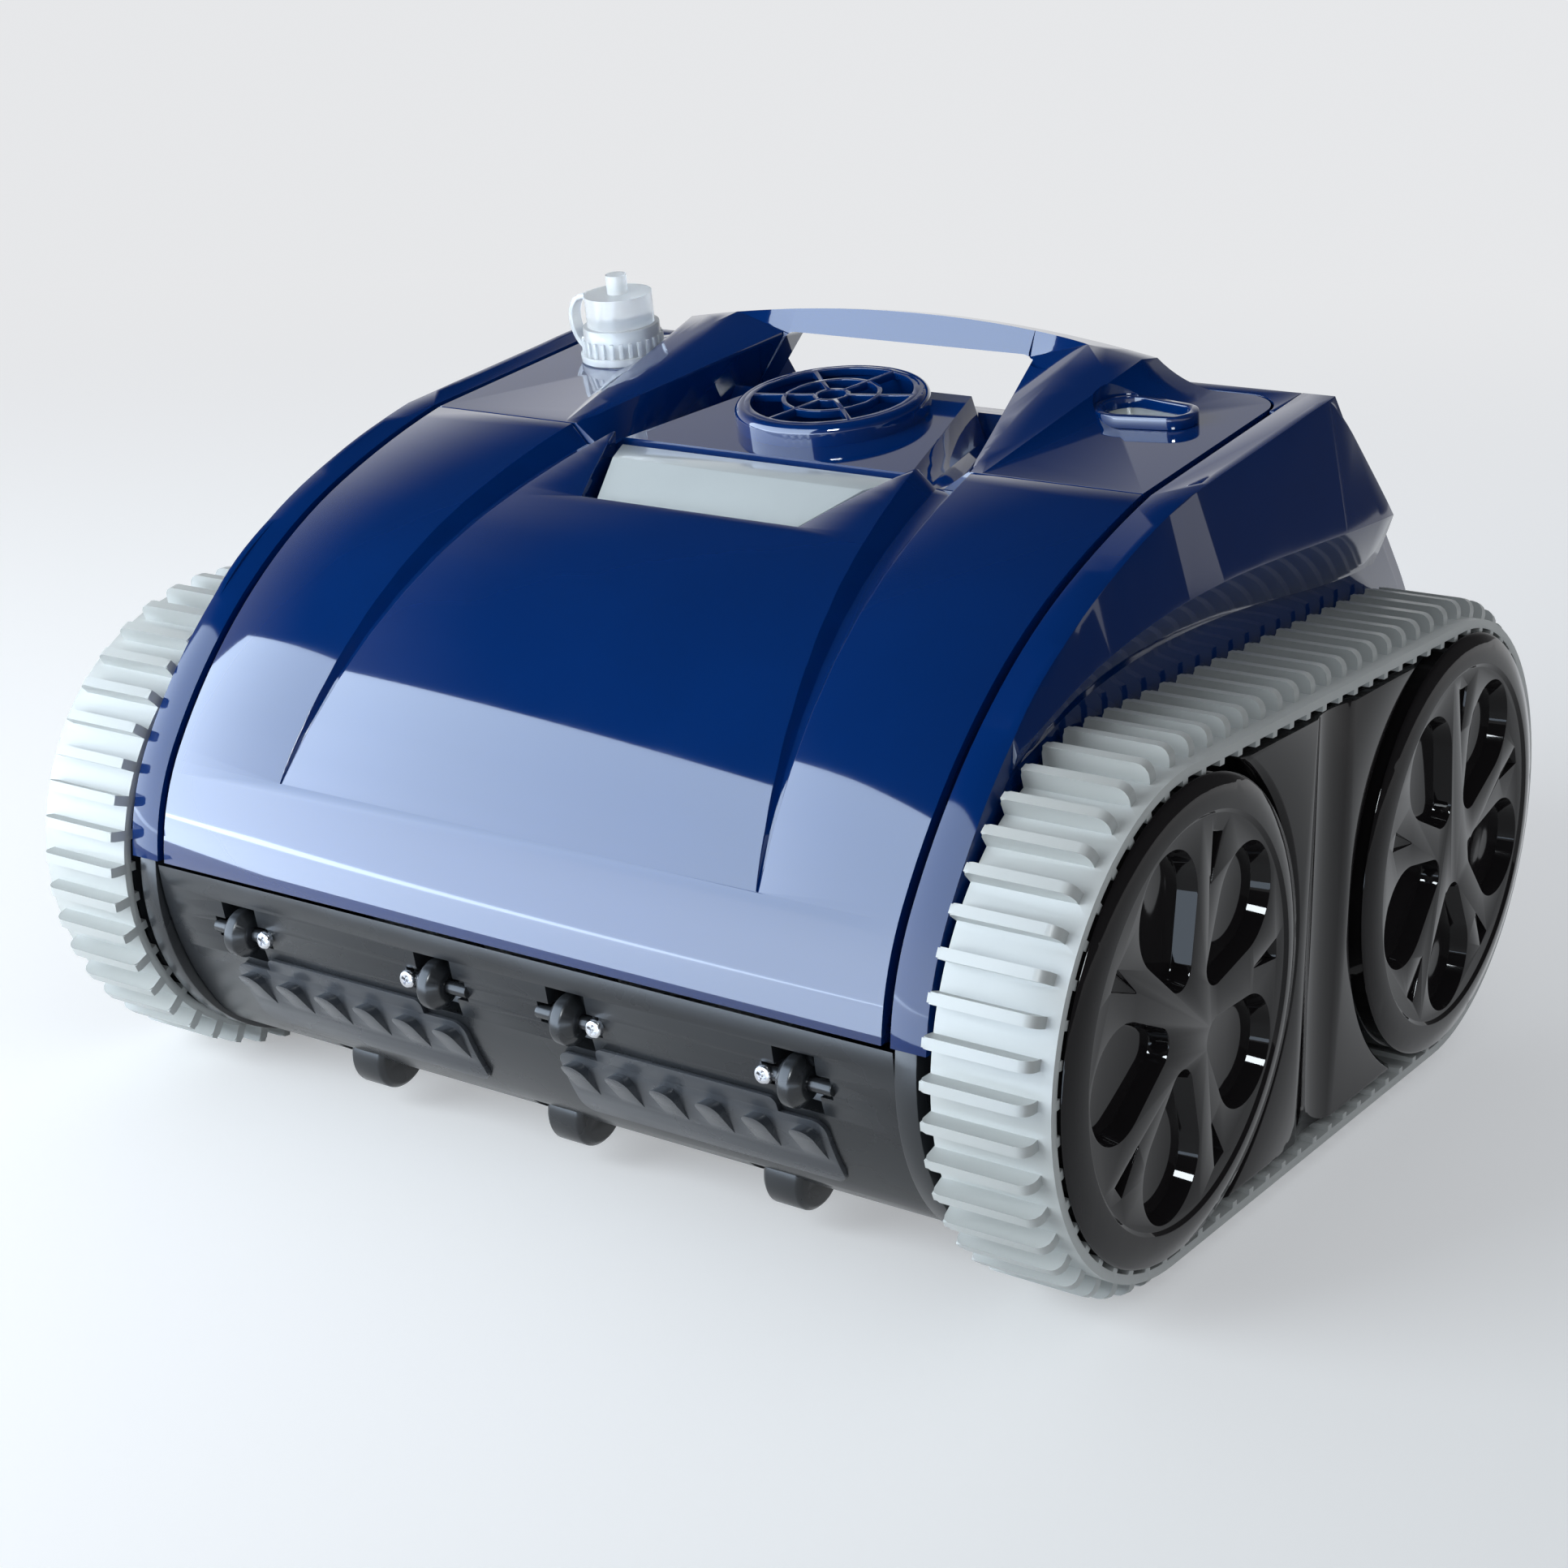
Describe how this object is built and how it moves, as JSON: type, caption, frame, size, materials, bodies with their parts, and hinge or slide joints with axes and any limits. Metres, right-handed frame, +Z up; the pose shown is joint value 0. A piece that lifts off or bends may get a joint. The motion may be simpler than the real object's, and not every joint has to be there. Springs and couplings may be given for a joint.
{
  "type": "robotic pool cleaner",
  "caption": "Cordless tracked robotic pool cleaner with finned belts, a hinged bonnet over its filter basket, a top water outlet, a carrying handle and scrubbing pads below the front.",
  "frame": {"origin": "on the pool floor, below the middle of the machine", "axes": "+X to the side of the power button, +Y to the rear, +Z up"},
  "size_m": [0.462, 0.424, 0.3049],
  "materials": {
    "blue_shell": "gloss",
    "navy_shell": "gloss",
    "black_plastic": "satin",
    "track_rubber": "matt",
    "graphite_gloss": "gloss",
    "stainless": "polished",
    "silver_latch": "satin silver",
    "pale_button": "satin",
    "clear_plastic": "clear gloss",
    "seal_rubber": "matt",
    "grey_roller": "matt",
    "pad_rubber": "matt",
    "motor_steel": "zinc plated",
    "gear_nylon": "satin",
    "contact_brass": "polished",
    "filter_white": "satin",
    "filter_cloth": "woven",
    "battery_wrap": "shrink wrap",
    "bearing_bronze": "sintered"
  },
  "bodies": {
    "hull": {"top_cover": "blue_shell", "outlet_grille": "blue_shell", "button_bezel": "blue_shell", "rear_panel": "navy_shell", "left_fairing": "navy_shell", "right_fairing": "navy_shell", "lower_housing": "black_plastic", "left_side_frame": "black_plastic", "right_side_frame": "black_plastic", "deck": "black_plastic", "charge_socket": "black_plastic", "pump_housing": "black_plastic", "control_box": "black_plastic", "left_belt": "track_rubber", "right_belt": "track_rubber", "left_track_guard": "graphite_gloss", "right_track_guard": "graphite_gloss", "lid_seal": "seal_rubber", "lid_hinge_pins": "stainless", "front_axles": "stainless", "axle_bearings": "bearing_bronze", "left_motor": "motor_steel", "right_motor": "motor_steel", "pump_motor": "motor_steel", "battery_pack": "battery_wrap", "roller_pins": "stainless", "roller_screws": "stainless", "left_front_pad": "pad_rubber", "right_front_pad": "pad_rubber", "caster_pins": "stainless", "charge_pins": "contact_brass", "cap_tether": "seal_rubber"},
    "bonnet": {"front_lid": "blue_shell", "latch_pin": "stainless"},
    "latch": {"lid_latch": "silver_latch"},
    "button": {"power_button": "pale_button"},
    "charging_cap": {"charge_cap": "clear_plastic"},
    "left_rear_drive": {"left_rear_wheel": "black_plastic", "left_rear_cap": "graphite_gloss", "left_drive_shaft": "stainless"},
    "right_rear_drive": {"right_rear_wheel": "black_plastic", "right_rear_cap": "graphite_gloss", "right_drive_shaft": "stainless"},
    "left_front_idler": {"left_front_wheel": "black_plastic", "left_front_cap": "graphite_gloss"},
    "right_front_idler": {"right_front_wheel": "black_plastic", "right_front_cap": "graphite_gloss"},
    "left_motor_pinion": {"left_pinion": "gear_nylon"},
    "right_motor_pinion": {"right_pinion": "gear_nylon"},
    "pump_impeller": {"impeller": "filter_white"},
    "basket": {"filter_basket": "filter_white", "filter_mesh": "filter_cloth"},
    "flap": {"intake_flap": "seal_rubber"},
    "right_outer_roller": {"roller_right_outer": "grey_roller"},
    "right_inner_roller": {"roller_right_inner": "grey_roller"},
    "left_inner_roller": {"roller_left_inner": "grey_roller"},
    "left_outer_roller": {"roller_left_outer": "grey_roller"},
    "left_caster": {"caster_left": "black_plastic"},
    "middle_caster": {"caster_middle": "black_plastic"},
    "right_caster": {"caster_right": "black_plastic"}
  },
  "joints": [
    {"name": "bonnet_hinge", "type": "hinge", "parent": "hull", "child": "bonnet", "pos_m": [0, -0.192, 0.112], "axis": [1, 0, 0], "range_deg": [0, 75]},
    {"name": "latch_pivot", "type": "hinge", "parent": "bonnet", "child": "latch", "pos_m": [0, -0.075, 0.2325], "axis": [1, 0, 0], "range_deg": [0, 16], "stiffness_Nm_per_rad": 0.25, "springref_deg": -11.46},
    {"name": "button_press", "type": "slide", "parent": "hull", "child": "button", "axis": [0, 0.1566, -0.9877], "range_m": [0, 0.002], "stiffness_N_per_m": 300, "springref_m": -0.001},
    {"name": "cap_pull", "type": "slide", "parent": "hull", "child": "charging_cap", "axis": [0, -0.1566, 0.9877], "range_m": [0, 0.018]},
    {"name": "left_rear_axle", "type": "hinge", "parent": "hull", "child": "left_rear_drive", "pos_m": [0.205, 0.115, 0.097], "axis": [1, 0, 0], "continuous": true},
    {"name": "left_front_axle", "type": "hinge", "parent": "hull", "child": "left_front_idler", "pos_m": [0.205, -0.115, 0.097], "axis": [1, 0, 0], "continuous": true},
    {"name": "left_pinion_spin", "type": "hinge", "parent": "hull", "child": "left_motor_pinion", "pos_m": [0.14, 0.075, 0.097], "axis": [1, 0, 0], "continuous": true},
    {"name": "right_rear_axle", "type": "hinge", "parent": "hull", "child": "right_rear_drive", "pos_m": [-0.205, 0.115, 0.097], "axis": [1, 0, 0], "continuous": true},
    {"name": "right_front_axle", "type": "hinge", "parent": "hull", "child": "right_front_idler", "pos_m": [-0.205, -0.115, 0.097], "axis": [1, 0, 0], "continuous": true},
    {"name": "right_pinion_spin", "type": "hinge", "parent": "hull", "child": "right_motor_pinion", "pos_m": [-0.14, 0.075, 0.097], "axis": [1, 0, 0], "continuous": true},
    {"name": "right_outer_roller_spin", "type": "hinge", "parent": "hull", "child": "right_outer_roller", "pos_m": [-0.127, -0.1975, 0.0805], "axis": [1, 0, 0], "continuous": true},
    {"name": "right_inner_roller_spin", "type": "hinge", "parent": "hull", "child": "right_inner_roller", "pos_m": [-0.0306, -0.1975, 0.0805], "axis": [1, 0, 0], "continuous": true},
    {"name": "left_inner_roller_spin", "type": "hinge", "parent": "hull", "child": "left_inner_roller", "pos_m": [0.0306, -0.1975, 0.0805], "axis": [1, 0, 0], "continuous": true},
    {"name": "left_outer_roller_spin", "type": "hinge", "parent": "hull", "child": "left_outer_roller", "pos_m": [0.127, -0.1975, 0.0805], "axis": [1, 0, 0], "continuous": true},
    {"name": "left_caster_spin", "type": "hinge", "parent": "hull", "child": "left_caster", "pos_m": [0.098, -0.152, 0.024], "axis": [1, 0, 0], "continuous": true},
    {"name": "middle_caster_spin", "type": "hinge", "parent": "hull", "child": "middle_caster", "pos_m": [0, -0.152, 0.024], "axis": [1, 0, 0], "continuous": true},
    {"name": "right_caster_spin", "type": "hinge", "parent": "hull", "child": "right_caster", "pos_m": [-0.098, -0.152, 0.024], "axis": [1, 0, 0], "continuous": true},
    {"name": "impeller_spin", "type": "hinge", "parent": "hull", "child": "pump_impeller", "pos_m": [0, 0.014, 0.26137], "axis": [0, -0.1819, 0.9833], "continuous": true},
    {"name": "basket_lift", "type": "slide", "parent": "hull", "child": "basket", "axis": [0, 0, 1], "range_m": [0, 0.02]},
    {"name": "flap_hinge", "type": "hinge", "parent": "basket", "child": "flap", "pos_m": [0, -0.078, 0.0525], "axis": [-1, 0, 0], "range_deg": [0, 50]}
  ],
  "couplings": [
    {"joint": "left_front_axle", "follows": "left_rear_axle", "ratio": 1},
    {"joint": "left_pinion_spin", "follows": "left_rear_axle", "ratio": -3},
    {"joint": "right_front_axle", "follows": "right_rear_axle", "ratio": 1},
    {"joint": "right_pinion_spin", "follows": "right_rear_axle", "ratio": -3}
  ]
}
